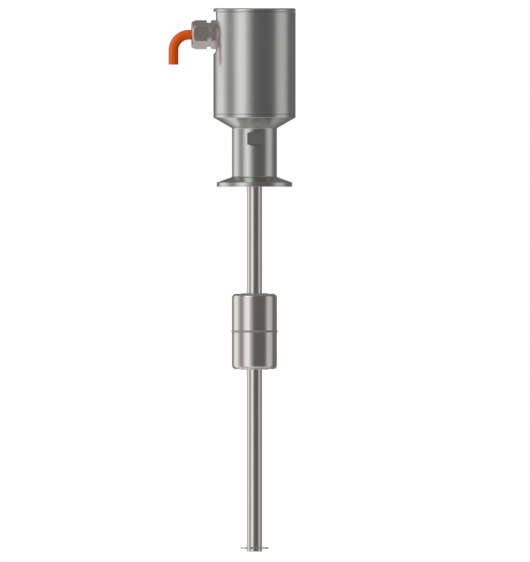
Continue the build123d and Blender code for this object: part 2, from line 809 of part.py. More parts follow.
# Gland body: spigot in the head, hexagon against the flat, threaded neck under the nut
corner_r = hex_across / 2 / cos(pi / 6)
gland_neck_end = gland_hex_length + gland_neck_length
with BuildPart() as gland_body:
    with BuildSketch(gland_plane) as body_hexagon:
        RegularPolygon(hex_across / 2, 6, major_radius=False, rotation=30 + hex_turn)
        fillet(body_hexagon.vertices(), hex_edge)
    extrude(amount=gland_hex_length)
    with BuildSketch(gland_section):
        with BuildLine():
            Polyline(
                (0, 0),
                (0, corner_r - hex_chamfer),
                (hex_chamfer / 2, corner_r),
                (gland_hex_length - hex_chamfer / 2, corner_r),
                (gland_hex_length, corner_r - hex_chamfer),
                (gland_hex_length, 0),
                close=True,
            )
        make_face()
    revolve(axis=gland_axis, mode=Mode.INTERSECT)
    with BuildSketch(gland_section):
        with BuildLine():
            Polyline(
                (-gland_spigot, 0),
                (-gland_spigot, gland_thread_d / 2),
                (gland_hex_length / 2, gland_thread_d / 2),
                (gland_hex_length / 2, gland_neck_d / 2),
                (gland_neck_end, gland_neck_d / 2),
                (gland_neck_end, 0),
                close=True,
            )
        make_face()
    revolve(axis=gland_axis)
    with BuildSketch(gland_section):
        with BuildLine():
            Polyline(
                (-gland_spigot, 0),
                (-gland_spigot, gland_bore_d / 2),
                (gland_cup_floor - gland_cup_cone, gland_bore_d / 2),
                (gland_cup_floor, gland_cup_d / 2 - claw_wall - fit_gap),
                (gland_cup_floor, gland_cup_d / 2),
                (gland_neck_end, gland_cup_d / 2),
                (gland_neck_end, 0),
                close=True,
            )
        make_face()
    revolve(axis=gland_axis, mode=Mode.SUBTRACT)
    recess_inner = gland_thread_d / 2 + gland_ring_land
    recess_outer = hex_across / 2 - hex_chamfer - gland_ring_land
    with BuildSketch(gland_plane):
        Circle(recess_outer)
        Circle(recess_inner, mode=Mode.SUBTRACT)
    extrude(amount=gland_ring_recess, mode=Mode.SUBTRACT)
gland_body.part.label = "gland_body"

with BuildPart() as gland_o_ring:
    with BuildSketch(gland_section):
        with Locations((gland_ring_recess / 2, (recess_inner + recess_outer) / 2)):
            Circle(gland_ring_recess / 2 - fit_gap)
    revolve(axis=gland_axis)
gland_o_ring.part.label = "gland_o_ring"

# Lamellar claw: a ring in the gland's cup, with fingers that the nut presses on the seal
claw_inner_r = gland_cup_d / 2 - fit_gap - claw_wall
claw_start = gland_cup_floor + fit_gap
claw_head = gland_neck_end + seat_gap
nut_start = gland_hex_length + gland_neck_gap
nut_hex_end = nut_start + nut_hex_length
nut_front = nut_hex_end + nut_collar
nut_collar_r = nut_collar_d / 2
claw_end = nut_front - nut_lip
claw_shoulder = (claw_head + claw_end) / 2
with BuildPart() as gland_claw:
    with BuildSketch(gland_section):
        with BuildLine():
            Polyline(
                (claw_start, claw_inner_r),
                (claw_start, gland_cup_d / 2 - fit_gap),
                (claw_head, gland_cup_d / 2 - fit_gap),
                (claw_head, claw_head_d / 2),
                (claw_shoulder, claw_head_d / 2),
                (claw_end, claw_tip_d / 2),
                (claw_end, claw_inner_r),
                close=True,
            )
        make_face()
    revolve(axis=gland_axis)
    with BuildSketch(gland_plane.offset(claw_head)):
        with PolarLocations(claw_head_d / 2, claw_slots):
            Rectangle(claw_head_d / 2, claw_slot_width)
    extrude(amount=claw_end - claw_head, mode=Mode.SUBTRACT)
gland_claw.part.label = "gland_claw"

with BuildPart() as gland_seal:
    with BuildSketch(gland_plane.offset(claw_start)):
        Circle(claw_inner_r - fit_gap)
        Circle(cable_d / 2 + fit_gap, mode=Mode.SUBTRACT)
    extrude(amount=claw_end - claw_start)
gland_seal.part.label = "gland_seal"

# Clamp nut: a hexagon with a round collar at its front, hollow over the neck and the claw
with BuildPart() as gland_clamp_nut:
    with BuildSketch(gland_plane.offset(nut_start)) as nut_hexagon:
        RegularPolygon(hex_across / 2, 6, major_radius=False, rotation=30 + hex_turn)
        fillet(nut_hexagon.vertices(), hex_edge)
    extrude(amount=nut_hex_length)
    with BuildSketch(gland_section):
        with BuildLine():
            Polyline(
                (nut_start, 0),
                (nut_start, corner_r - hex_chamfer),
                (nut_start + hex_chamfer / 2, corner_r),
                (nut_hex_end - hex_chamfer, corner_r),
                (nut_hex_end, nut_collar_r),
                (nut_hex_end, 0),
                close=True,
            )
        make_face()
    revolve(axis=gland_axis, mode=Mode.INTERSECT)
    with BuildSketch(gland_plane.offset(nut_hex_end - hex_chamfer)):
        Circle(nut_collar_r)
    extrude(amount=nut_collar + hex_chamfer)
    nut_circles = gland_clamp_nut.edges().filter_by(GeomType.CIRCLE)
    collar_rims = nut_circles.filter_by(lambda e: abs(e.radius - nut_collar_r) < 0.01)
    fillet(collar_rims.sort_by(Axis.X)[0], nut_edge)
    with BuildSketch(gland_section):
        with BuildLine():
            Polyline(
                (nut_start, 0),
                (nut_start, gland_neck_d / 2 + seat_gap),
                (claw_head, gland_neck_d / 2 + seat_gap),
                (claw_head, claw_head_d / 2 + 2 * seat_gap),
                (claw_shoulder, claw_head_d / 2 + 2 * seat_gap),
                (claw_end + seat_gap, claw_tip_d / 2 + 2 * seat_gap),
                (claw_end + seat_gap, nut_mouth_d / 2),
                (nut_front, nut_mouth_d / 2),
                (nut_front, 0),
                close=True,
            )
        make_face()
    revolve(axis=gland_axis, mode=Mode.SUBTRACT)
gland_clamp_nut.part.label = "gland_clamp_nut"

# Cable: from its stripped end inside the head out through the gland, down to the cut end.
# Each point is its distance out from the flat and its height above the gland's axis.
cable_route = [
    (-6.4, 0.0),
    (21.2, 0.0),
    (26.1, -2.8),
    (28.9, -7.7),
    (28.9, -20.0),
]


def bend_radii(points):
    """The largest sound bend at each inner corner: 0.45 of its shorter run over the half turn's tangent."""
    radii = []
    for before, corner, after in zip(points, points[1:], points[2:]):
        run_in = Vector(*corner) - Vector(*before)
        run_out = Vector(*after) - Vector(*corner)
        half_turn = radians(run_in.get_angle(run_out)) / 2
        radii.append(0.45 * min(run_in.length, run_out.length) / tan(half_turn))
    return radii


cable_radii = bend_radii(cable_route)
print("cable bend radii:", [round(r, 2) for r in cable_radii])
with BuildPart() as cable_jacket:
    with BuildLine(gland_section) as cable_path:
        FilletPolyline(*cable_route, radius=cable_radii)
    with BuildSketch(gland_plane.offset(cable_route[0][0])):
        Circle(cable_d / 2)
    sweep(path=cable_path.line)
cable_jacket.part.label = "cable_jacket"

# Four insulated cores, each from the stripped end down to its own terminal
core_starts = [(-core_spread, core_spread), (-core_spread, -core_spread)]
core_starts += [(core_spread, -core_spread), (core_spread, core_spread)]
jacket_end_x = -flat_distance - cable_route[0][0]
core_ends = [(i - (terminal_count - 1) / 2) * terminal_pitch for i in range(terminal_count)]
with BuildPart() as cable_cores:
    for (side, rise), end_y in zip(core_starts, core_ends):
        core_points = [
            (jacket_end_x, side, gland_z + rise),
            (jacket_end_x + core_lead, side, gland_z + rise),
            (terminal_front - core_lead, end_y, terminal_hole_z),
            (terminal_front, end_y, terminal_hole_z),
        ]
        with BuildLine() as core_path:
            FilletPolyline(*core_points, radius=bend_radii(core_points))
        with BuildSketch(Plane.YZ.offset(jacket_end_x)):
            with Locations((side, gland_z + rise)):
                Circle(core_d / 2)
        sweep(path=core_path.line)
cable_cores.part.label = "cable_cores"

with BuildPart() as wire_end_ferrules:
    with BuildSketch(Plane.YZ.offset(terminal_front)):
        with Locations((0, terminal_hole_z)):
            with GridLocations(terminal_pitch, 1, terminal_count, 1):
                Circle(end_ferrule_d / 2)
    extrude(amount=end_ferrule_length - seat_gap)
wire_end_ferrules.part.label = "wire_end_ferrules"

export_step(process_connection.part, "parts/process_connection.step")
export_step(base_o_ring.part, "parts/base_o_ring.step")
export_step(housing_shell.part, "parts/housing_shell.step")
export_step(housing_lid.part, "parts/housing_lid.step")
export_step(lid_o_ring.part, "parts/lid_o_ring.step")
export_step(guide_tube.part, "parts/guide_tube.step")
export_step(tube_end_plug.part, "parts/tube_end_plug.step")
export_step(retaining_clip.part, "parts/retaining_clip.step")
export_step(float_upper_shell.part, "parts/float_upper_shell.step")
export_step(float_lower_shell.part, "parts/float_lower_shell.step")
export_step(float_bore_tube.part, "parts/float_bore_tube.step")
export_step(float_magnet_carrier.part, "parts/float_magnet_carrier.step")
export_step(float_magnets.part, "parts/float_magnets.step")
export_step(waveguide_wire.part, "parts/waveguide_wire.step")
export_step(waveguide_sleeve.part, "parts/waveguide_sleeve.step")
export_step(return_wire.part, "parts/return_wire.step")
export_step(wire_crimp.part, "parts/wire_crimp.step")
export_step(end_damper.part, "parts/end_damper.step")
export_step(centring_rings.part, "parts/centring_rings.step")
export_step(sensing_head_carrier.part, "parts/sensing_head_carrier.step")
export_step(coil_bobbin.part, "parts/coil_bobbin.step")
export_step(pickup_coil.part, "parts/pickup_coil.step")
export_step(pickup_leads.part, "parts/pickup_leads.step")
export_step(bias_magnet.part, "parts/bias_magnet.step")
export_step(waveguide_clamp.part, "parts/waveguide_clamp.step")
export_step(lower_pillars.part, "parts/lower_pillars.step")
export_step(upper_pillars.part, "parts/upper_pillars.step")
export_step(signal_board.part, "parts/signal_board.step")
export_step(terminal_board.part, "parts/terminal_board.step")
export_step(board_screws.part, "parts/board_screws.step")
export_step(shield_can.part, "parts/shield_can.step")
export_step(processor.part, "parts/processor.step")
export_step(capacitors.part, "parts/capacitors.step")
export_step(board_connector.part, "parts/board_connector.step")
export_step(terminal_block.part, "parts/terminal_block.step")
export_step(terminal_screws.part, "parts/terminal_screws.step")
export_step(gland_body.part, "parts/gland_body.step")
export_step(gland_o_ring.part, "parts/gland_o_ring.step")
export_step(gland_claw.part, "parts/gland_claw.step")
export_step(gland_seal.part, "parts/gland_seal.step")
export_step(gland_clamp_nut.part, "parts/gland_clamp_nut.step")
export_step(cable_jacket.part, "parts/cable_jacket.step")
export_step(cable_cores.part, "parts/cable_cores.step")
export_step(wire_end_ferrules.part, "parts/wire_end_ferrules.step")
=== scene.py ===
import json
import math

import bpy
import numpy as np
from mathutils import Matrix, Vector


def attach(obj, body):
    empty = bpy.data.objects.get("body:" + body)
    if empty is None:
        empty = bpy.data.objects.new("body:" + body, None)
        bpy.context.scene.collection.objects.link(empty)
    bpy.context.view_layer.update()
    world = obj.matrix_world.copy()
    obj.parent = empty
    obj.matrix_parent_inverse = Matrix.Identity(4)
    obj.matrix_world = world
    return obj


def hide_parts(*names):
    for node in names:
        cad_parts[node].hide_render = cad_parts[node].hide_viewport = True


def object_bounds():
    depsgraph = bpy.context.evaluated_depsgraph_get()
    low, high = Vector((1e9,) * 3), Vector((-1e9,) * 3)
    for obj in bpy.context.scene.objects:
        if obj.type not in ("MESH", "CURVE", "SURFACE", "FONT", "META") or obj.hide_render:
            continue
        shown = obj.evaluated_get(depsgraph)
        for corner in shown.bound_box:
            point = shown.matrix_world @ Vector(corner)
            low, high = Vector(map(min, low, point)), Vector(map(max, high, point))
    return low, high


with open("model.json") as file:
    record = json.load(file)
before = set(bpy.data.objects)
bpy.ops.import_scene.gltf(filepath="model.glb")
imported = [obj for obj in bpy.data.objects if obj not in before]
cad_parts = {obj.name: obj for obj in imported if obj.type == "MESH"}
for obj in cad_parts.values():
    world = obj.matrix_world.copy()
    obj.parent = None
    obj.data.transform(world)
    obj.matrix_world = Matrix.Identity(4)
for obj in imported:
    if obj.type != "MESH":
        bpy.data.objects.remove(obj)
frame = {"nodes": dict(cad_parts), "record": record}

# %% [markdown]
# # A linear position sensor, dressed for its portrait
#
# The construction comes in ready made: every steel part, board and screw is a node of the packed
# model, at its real size in metres. The origin is the centre of the clamp ferrule's sealing face,
# +Z points up to the head, and the cable gland points to -X. This script adds what the solids lack:
# the finish of each surface, the cable as a soft curve, its cut end, the ripples of the float's
# weld and the coloured wires under the lid. Each step says what the real thing is before the code
# makes it.

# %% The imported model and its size
nodes = frame["nodes"]
cad_low, cad_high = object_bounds()
mm = 0.001
print(len(nodes), "nodes, box", [round(v / mm, 1) for v in (cad_high - cad_low)], "mm")

# %% [markdown]
# ## The camera
#
# The photograph has no perspective: the tube's sides are parallel, and each disc of the object is a
# straight line. So the camera is orthographic and level. One pixel is 0.669 mm, found from the
# standard ferrule, and the picture is 562 pixels high. An orthographic camera's scale is the length
# of the picture's longer side. A sliver of the flat beside the gland shows that the camera stands
# about two degrees to the left of straight in front, so it is turned that much round the sensor's
# axis.

# %% The camera
pixel = 0.669 * mm
picture_wide, picture_high = 530, 562
axis_column, face_row = 254.5, 186.75
camera_turn = math.radians(-2.3)
camera_distance = 1.6

camera_data = bpy.data.cameras.new("camera")
camera_data.type = "ORTHO"
camera_data.ortho_scale = picture_high * pixel
camera_data.clip_start, camera_data.clip_end = 0.05, 10
camera = bpy.data.objects.new("camera", camera_data)
bpy.context.scene.collection.objects.link(camera)
bpy.context.scene.camera = camera

aside = (picture_wide / 2 - axis_column) * pixel
height = (face_row - picture_high / 2) * pixel
right = np.array([math.cos(camera_turn), math.sin(camera_turn), 0])
back = np.array([math.sin(camera_turn), -math.cos(camera_turn), 0])
camera.location = right * aside + back * camera_distance + np.array([0, 0, height])
camera.rotation_euler = (math.pi / 2, 0, camera_turn)
print("camera at", [round(v, 3) for v in camera.location])

# %% [markdown]
# ## Writing shaders as sums
#
# A shader's maths could be built by hand, one node and one link at a time, but then a simple sum
# takes ten lines. Instead a small class wraps an output socket and gives it the usual operators: an
# expression such as `1 - mask` adds the Math nodes by itself. Any other node comes from one method,
# which takes the node's type, its settings, and the values or links of its sockets.

# %% A socket that can be added, and a tree that makes nodes
def solid(color):
    """A colour of three numbers with its alpha of 1 added. A link stays as it is."""
    return color if isinstance(color, Field) else (*color, 1)


class Field:
    """An output socket of a node tree. Arithmetic on it adds Math nodes to that tree."""

    def __init__(self, tree, socket):
        self.tree = tree
        self.socket = socket

    def output(self, name):
        """Another output of the node that this one comes from."""
        return Field(self.tree, self.socket.node.outputs[name])

    def math(self, operation, *values):
        """A Math node with these values or links in its sockets."""
        return self.tree.node("ShaderNodeMath", {"operation": operation}, dict(enumerate(values)))

    def __add__(self, other):
        return self.math("ADD", self, other)

    def __radd__(self, other):
        return self.math("ADD", other, self)

    def __sub__(self, other):
        return self.math("SUBTRACT", self, other)

    def __rsub__(self, other):
        return self.math("SUBTRACT", other, self)

    def __mul__(self, other):
        return self.math("MULTIPLY", self, other)

    def __rmul__(self, other):
        return self.math("MULTIPLY", other, self)

    def __truediv__(self, other):
        return self.math("DIVIDE", self, other)

    def __pow__(self, other):
        return self.math("POWER", self, other)

    def __lt__(self, other):
        return self.math("LESS_THAN", self, other)

    def fade(self, start, end):
        """0 up to start and 1 from end on, with a smooth step between. End may be the smaller one."""
        inputs = {"Value": self, "From Min": start, "From Max": end}
        return self.tree.node("ShaderNodeMapRange", {"interpolation_type": "SMOOTHSTEP"}, inputs)


class Tree:
    """The node tree of a material or of the world, written one node at a time."""

    def __init__(self, tree):
        self.tree = tree

    def feed(self, socket, value):
        """Link a field to an input socket, or set a plain value on it."""
        if isinstance(value, Field):
            self.tree.links.new(value.socket, socket)
        else:
            socket.default_value = value

    def node(self, kind, settings=None, inputs=None, output=0):
        """A node of that kind: its settings first, then each socket's value or link. Gives one output.
        The stops of a colour ramp are pairs of a place and a grey. A new ramp already has two."""
        made = self.tree.nodes.new(kind)
        for name, value in (settings or {}).items():
            if name == "stops":
                elements = made.color_ramp.elements
                for i, (place, light) in enumerate(value):
                    element = elements[i] if i < 2 else elements.new(place)
                    element.position = place
                    element.color = (light, light, light, 1)
            elif name == "blend":
                made.color_ramp.interpolation = value
            else:
                setattr(made, name, value)
        for name, value in (inputs or {}).items():
            self.feed(made.inputs[name], value)
        return Field(self, made.outputs[output])

    def place(self):
        """Object coordinates: the place on the model, in metres in the model's own frame."""
        return self.node("ShaderNodeTexCoord", output="Object")

    def split(self, vector):
        """The X, Y and Z of a vector."""
        numbers = self.node("ShaderNodeSeparateXYZ", inputs={0: vector})
        return [numbers.output(axis) for axis in "XYZ"]

    def vector(self, x, y, z):
        """A vector from its X, Y and Z."""
        return self.node("ShaderNodeCombineXYZ", inputs={0: x, 1: y, 2: z})

    def noise(self, vector, scale, detail=2.0):
        """Perlin noise from 0 to 1, with scale features to the metre."""
        inputs = {"Vector": vector, "Scale": scale, "Detail": detail}
        return self.node("ShaderNodeTexNoise", inputs=inputs)

    def mix(self, factor, first, second):
        """The colour first where factor is 0 and second where it is 1."""
        inputs = {0: factor, 6: solid(first), 7: solid(second)}
        return self.node("ShaderNodeMix", {"data_type": "RGBA"}, inputs, output=2)


print("shader tools ready")

# %% [markdown]
# ## The studio
#
# Bare steel has hardly a colour of its own: it shows the room. The photograph's housing has a light
# band near its left edge, a darker one, a second light band, a wide dark band right of the middle
# and a soft light one at the right. A cylinder turns a reflection by twice the angle of its
# surface, so each band says in which direction a bright or a dark wall stood. The studio is written
# from that: round the sensor stands a tent of soft grey panels, given as one ramp over the compass
# direction. Real lamps and cards could stand there too, but a ramp keeps every edge soft and free
# of noise. The background behind the object is plain white, as in the photograph, and only the
# camera sees it.

# %% The tent of panels, and the white background
FULL_TURN = 360
WALL_PANELS = [
    (-180, 0.17), (-148, 0.19), (-134, 0.75), (-122, 1.06), (-104, 1.06), (-90, 0.62),
    (-78, 0.35), (-68, 0.36), (-56, 0.82), (-46, 1.13), (-33, 1.12), (-18, 0.49),
    (-5, 0.18), (8, 0.15), (44, 0.145), (56, 0.22), (66, 0.57), (74, 0.68),
    (92, 0.64), (101, 0.42), (110, 0.19), (150, 0.19), (180, 0.17),
]
LOW_PANELS = [
    (-180, 0.6), (-170, 0.95), (-158, 1.0), (-145, 0.85), (-125, 0.62), (-100, 0.58),
    (-70, 0.62), (-40, 0.75), (0, 0.64), (40, 0.5), (95, 0.5), (140, 0.43), (165, 0.43), (180, 0.6),
]
HIGH_PANELS = [
    (-180, 0.2), (-140, 0.2), (-105, 0.3), (-76, 0.22), (-62, 1.2), (-46, 1.85),
    (-26, 1.5), (-6, 0.2), (40, 0.13), (75, 0.13), (95, 0.2), (180, 0.2),
]
CEILING_LIGHT = 0.25
# A ray's Z runs from -1 straight down to 1 straight up. These are where each row takes over.
LOW_FADE, HIGH_FADE, CEILING_FADE = (-0.41, -0.75), (0.4, 0.6), (0.66, 0.82)


def panels(stops):
    """The stops of a ramp: directions in degrees become places from 0 to 1."""
    return [(0.5 + turn / FULL_TURN, light) for turn, light in stops]


world = bpy.data.worlds.new("studio")
bpy.context.scene.world = world
world.use_nodes = True
sky = Tree(world.node_tree)
ray_x, ray_y, ray_z = sky.split(sky.node("ShaderNodeTexCoord", output="Generated"))
compass = ray_x.math("ARCTAN2", ray_x, 0 - ray_y) / (2 * math.pi) + 0.5
walls, low_light, high_light = (
    sky.node("ShaderNodeValToRGB", {"blend": "EASE", "stops": panels(stops)}, {0: compass})
    for stops in (WALL_PANELS, LOW_PANELS, HIGH_PANELS)
)
tent = walls
for light, limits in (
    (low_light, LOW_FADE), (high_light, HIGH_FADE), (CEILING_LIGHT, CEILING_FADE),
):
    share = ray_z.fade(*limits)
    tent = tent * (1 - share) + light * share
seen = sky.node("ShaderNodeLightPath", output="Is Camera Ray")
level = tent * (1 - seen) + seen
sky.feed(world.node_tree.nodes["Background"].inputs["Color"], level)
print("tent of", len(WALL_PANELS), "wall,", len(LOW_PANELS), "low and", len(HIGH_PANELS), "high stops")

# %% [markdown]
# Two real lamps stand in the tent, both square softboxes. The one overhead lights the tops of
# things and gives the floor its soft shadow. The other stands at the left, because the cable in the
# photograph is two and a half times lighter on its left side. Steel shows neither lamp, because it
# has the tent's panels to show. A lamp's radiance is its power over pi times its area, so its power
# is worked out from the brightness that its face should have.

# %% The two softboxes
def softbox(name, side, radiance, place, turn):
    """A square lamp at a place, turned by angles in degrees about X, Y and Z. It shines along its own
    -Z, and mirrors don't see it."""
    data = bpy.data.lights.new(name, "AREA")
    data.shape = "SQUARE"
    data.size = side
    data.energy = radiance * math.pi * side**2
    lamp = bpy.data.objects.new(name, data)
    lamp.location = place
    lamp.rotation_euler = [math.radians(angle) for angle in turn]
    lamp.visible_glossy = False
    bpy.context.scene.collection.objects.link(lamp)
    print(name, "of", round(data.energy, 2), "watt")


softbox("softbox_overhead", 0.8, 0.85, (-0.1, -0.05, 1.25), (0, 0, 0))
softbox("softbox_left", 0.9, 1.8, (-1.1, -0.35, 0.25), (0, -90, 17.7))

# %% [markdown]
# ## Surfaces from numbers
#
# New pieces are grids of points: numpy works out a whole array of places from two parameters, and
# the faces are the squares between neighbours. Building the arrays whole is short and quick, and it
# keeps the shape's formula in one line. The helper closes a grid round on itself and caps its ends.

# %% A mesh from a grid of points
def grid_piece(name, points, caps=True):
    """A smooth surface through an array of points: rows by columns by 3. Each row is closed into a
    ring, and where caps is true the first and the last ring are filled by one many-sided face each."""
    rows, columns = points.shape[:2]
    index = np.arange(rows * columns).reshape(rows, columns)
    beside = np.roll(index, -1, axis=1)
    squares = np.stack([index[:-1], beside[:-1], beside[1:], index[1:]], axis=-1)
    faces = squares.reshape(-1, 4).tolist()
    if caps:
        faces += [index[0, ::-1].tolist(), index[-1].tolist()]
    mesh = bpy.data.meshes.new(name)
    mesh.from_pydata(points.reshape(-1, 3).tolist(), [], faces)
    mesh.polygons.foreach_set("use_smooth", [True] * len(faces))
    mesh.update()
    piece = bpy.data.objects.new(name, mesh)
    bpy.context.scene.collection.objects.link(piece)
    return piece


def tube_points(path, radius, up, sides=24):
    """Rings of a round tube along a path: at each point the ring lies across the path's direction,
    radius * (cos a * side + sin a * over), where side is the direction crossed with up."""
    along = np.gradient(path, axis=0)
    along /= np.linalg.norm(along, axis=1, keepdims=True)
    side = np.cross(along, up)
    side /= np.linalg.norm(side, axis=1, keepdims=True)
    over = np.cross(side, along)
    turn = np.linspace(0, 2 * np.pi, sides, endpoint=False)[None, :, None]
    return path[:, None] + radius * (np.cos(turn) * side[:, None] + np.sin(turn) * over[:, None])


print("surface tools ready")

# %% [markdown]
# ## The cable
#
# The orange cable comes level out of the gland, bends down at once and ends in a straight cut. A
# cable is one soft line with a round section, so it is a curve: a NURBS spline takes the same few
# points as the solid's route and runs smoothly between them. A mesh tube through points on the
# solid's arcs would copy its straight runs and corners, and look like bent wire. Each long run has
# one extra point near its bend, so that the bend stays as short as in the photograph.
#
# Its thickness is the radius of its points times the bevel depth. The radius is the cable's own and
# the depth is 1, because the box that Blender gives for a curve grows by the radius alone.

# %% The cable as a NURBS curve
cable_d = 6.6 * mm
gland_height = 101.72 * mm
# X and Z in millimetres, from the stripped end in the head to the cut
CABLE_POINTS = [
    (-19.0, 101.7), (-40.96, 101.7), (-46.6, 101.7), (-51.5, 98.9),
    (-54.3, 94.0), (-54.3, 88.36), (-54.3, 81.7),
]

cable_curve = bpy.data.curves.new("cable", "CURVE")
cable_curve.dimensions = "3D"
spline = cable_curve.splines.new("NURBS")
spline.points.add(len(CABLE_POINTS) - 1)
for point, (x, z) in zip(spline.points, CABLE_POINTS):
    point.co = (x * mm, 0, z * mm, 1)
    point.radius = cable_d / 2
spline.order_u = 3
spline.use_endpoint_u = True
spline.resolution_u = 16
cable_curve.bevel_depth = 1.0
cable_curve.bevel_resolution = 10
cable_curve.use_fill_caps = True
cable = bpy.data.objects.new("cable", cable_curve)
bpy.context.scene.collection.objects.link(cable)
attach(cable, "sensor")
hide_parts("cable_jacket")
print("cable of", len(CABLE_POINTS), "points")

# %% [markdown]
# The far end is cut square. On such an end the sheath is a ring round four insulated cores, each
# with its bundle of bare copper, and the cutter leaves the cores a hair proud of the sheath. They
# could be painted on, but a few small turned shapes catch the light as the real ones do.

# %% The cut end: four cores and their strands
CORE_COLORS = {
    "brown": (0.12, 0.045, 0.02),
    "white": (0.72, 0.72, 0.70),
    "blue": (0.03, 0.10, 0.38),
    "black": (0.012, 0.012, 0.013),
}
core_r, core_spread, core_proud = 0.65 * mm, 1.1 * mm, 0.03 * mm
cut_x, cut_z = (v * mm for v in CABLE_POINTS[-1])
core_places = [(-1, 1), (-1, -1), (1, -1), (1, 1)]


def upright_pin(place, radius, low, high, rounding, sides=20):
    """The rings of a round pin that stands upright from low to high, with a rounded lower edge: the
    profile's radius grows by a quarter circle, then stays."""
    bend = np.linspace(0, np.pi / 2, 5)
    profile_r = np.concatenate([radius - rounding + rounding * np.sin(bend), [radius]])
    profile_z = np.concatenate([low + rounding - rounding * np.cos(bend), [high]])
    turn = np.linspace(0, 2 * np.pi, sides, endpoint=False)
    x, y = place
    return np.stack(
        [
            x + profile_r[:, None] * np.cos(turn),
            y + profile_r[:, None] * np.sin(turn),
            np.broadcast_to(profile_z[:, None], (len(profile_z), sides)),
        ],
        axis=-1,
    )


cut_pieces = []
for color, (across, beside) in zip(CORE_COLORS, core_places):
    middle = (cut_x + across * core_spread, beside * core_spread)
    rings = upright_pin(middle, core_r, cut_z - core_proud, cut_z + core_r, core_proud)
    core = grid_piece(f"cut_core_{color}", rings)
    cut_pieces.append(core)
print(len(cut_pieces), "cores at the cut end")

# %% [markdown]
# A core's conductor is seven thin copper strands, six laid round one. All the strands of the cut
# are one piece: the same pin at each of its places.

# %% The copper strands
def joined(name, rings):
    """One piece from several capped grids, given as a list of arrays."""
    parts = [grid_piece(f"{name}_{i}", points) for i, points in enumerate(rings)]
    with bpy.context.temp_override(active_object=parts[0], selected_editable_objects=parts):
        bpy.ops.object.join()
    parts[0].name = name
    return parts[0]


strand_r, strand_proud, strand_rounding = 0.14 * mm, 0.05 * mm, 0.03 * mm
strand_turns = np.arange(6) * np.pi / 3
around = 2 * strand_r * np.stack([np.cos(strand_turns), np.sin(strand_turns)], axis=-1)
strand_offsets = np.vstack([[0, 0], around])
strand_rings = []
for across, beside in core_places:
    middle = np.array([cut_x + across * core_spread, beside * core_spread])
    strand_rings += [
        upright_pin(
            middle + offset, strand_r, cut_z - strand_proud, cut_z, strand_rounding, sides=10
        )
        for offset in strand_offsets
    ]
strands = joined("cut_strands", strand_rings)
cut_pieces.append(strands)
for piece in cut_pieces:
    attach(piece, "sensor")
print(len(strand_rings), "strands")

# %% The cable is done
print("cable made")

# %% [markdown]
# ## The wires under the lid
#
# Under the lid the four cores fan out from the stripped sheath to the terminals. The solid model
# has them as one grey node. Here each core is a tube of its own colour along a smooth S: a cubic
# curve that leaves the sheath level and arrives level at its terminal. A Hermite curve is the
# shortest way to say that, because it is given by its two ends and its two directions.

# %% Four coloured cores
sheath_x = CABLE_POINTS[0][0] * mm
terminal_x, terminal_z, terminal_pitch = 4.0 * mm, 88.8 * mm, 3.81 * mm
middle_terminal = (len(CORE_COLORS) - 1) / 2
core_pull = 26 * mm
core_up = (0, 0.2, 1)
t = np.linspace(0, 1, 49)[:, None]


def s_curve(start, end, pull):
    """Cubic from start to end that leaves and arrives along +X: start * (2t^3 - 3t^2 + 1)
    + end * (3t^2 - 2t^3) + pull * ((t^3 - 2t^2 + t) + (t^3 - t^2)) along X."""
    ends = np.outer(2 * t**3 - 3 * t**2 + 1, start) + np.outer(3 * t**2 - 2 * t**3, end)
    return ends + (2 * t**3 - 3 * t**2 + t) * np.array([pull, 0, 0])


cores = []
for i, (color, (across, beside)) in enumerate(zip(CORE_COLORS, core_places)):
    start = np.array([sheath_x, across * core_spread, gland_height + beside * core_spread])
    end = np.array([terminal_x, (i - middle_terminal) * terminal_pitch, terminal_z])
    path = s_curve(start, end, core_pull)
    core = grid_piece(f"core_{color}", tube_points(path, core_r, core_up))
    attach(core, "sensor")
    cores.append(core)
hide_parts("cable_cores")
print(len(cores), "cores in the head")

# %% [markdown]
# ## The float's weld
#
# The float's two drawn halves are joined by a weld without filler, laid while the float turned. The
# solid has a plain bead. A real one has a ripple for each pulse of the torch, like scales, and is a
# little uneven. So the bead is a ring whose section is a shallow arc, and whose radius follows a
# skewed wave round the float: a slow rise and a quick fall for each ripple.

# %% The rippled bead
float_z, float_r = -96.8 * mm, 15.0 * mm
bead_half, bead_rise, bead_seat = 0.7 * mm, 0.6 * mm, 0.02 * mm
ripple_count, ripple_depth, ripple_skew = 130, 0.035 * mm, 1.6
ripple_points, arc_points = 20, 13
ripple_lag, ripple_jitter = 0.5, 0.06  # shares of one ripple: its scale's curve, and its unevenness
slow_wave, quick_wave = 0.02 * mm, 0.015 * mm
turn = np.linspace(0, 2 * np.pi, ripple_count * ripple_points, endpoint=False)
arc = np.linspace(0, np.pi, arc_points)
lag = ripple_lag * np.sin(arc)[:, None]
phase = ripple_count * turn[None, :] / (2 * np.pi) + lag + ripple_jitter * np.sin(9 * turn)
ripple = ripple_depth * (phase % 1.0) ** ripple_skew
uneven = slow_wave * np.sin(5 * turn + 1.0) + quick_wave * np.sin(13 * turn)
bead_r = float_r - bead_seat + (bead_rise + uneven - ripple) * np.sin(arc)[:, None]
bead_z = float_z + bead_half * np.cos(arc)[:, None] + uneven * 0.6
bead_points = np.stack([bead_r * np.cos(turn), bead_r * np.sin(turn), bead_z], axis=-1)
bead = grid_piece("weld_bead", bead_points[::-1], caps=False)
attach(bead, "float")
print("weld bead of", ripple_count, "ripples")

# %% [markdown]
# ## Finishes
#
# Every finish is a Principled shader. Numbers that are the same all over are set on its own
# sockets, and only what changes over the surface is a node. All patterns read Object coordinates,
# which are metres in the model's frame, so a tool mark has its real size and stays put when a body
# moves.

